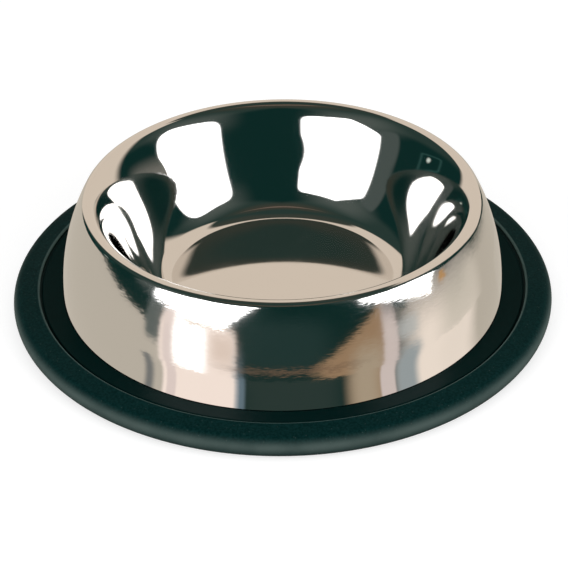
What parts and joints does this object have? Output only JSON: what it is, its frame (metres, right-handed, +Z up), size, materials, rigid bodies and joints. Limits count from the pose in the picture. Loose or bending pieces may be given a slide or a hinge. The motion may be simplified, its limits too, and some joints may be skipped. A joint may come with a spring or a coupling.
{
  "type": "non-tip pet bowl",
  "caption": "Round stainless steel feeding bowl with a rolled rim and a flared skirt, its foot flange gripped by a black rubber ring that keeps it from sliding.",
  "frame": {"origin": "on the table, under the middle of the bowl", "axes": "+Z up along the bowl's axis of revolution; +X and +Y lie in the table plane and are alike"},
  "size_m": [0.16, 0.16, 0.0354],
  "materials": {
    "polished_steel": "mirror polished inside and over the rim, fine circular satin grain on the skirt",
    "black_rubber": "matt moulded rubber, faintly dusty"
  },
  "bodies": {
    "root": {"bowl_shell": "polished_steel", "rubber_ring": "black_rubber"}
  },
  "joints": []
}
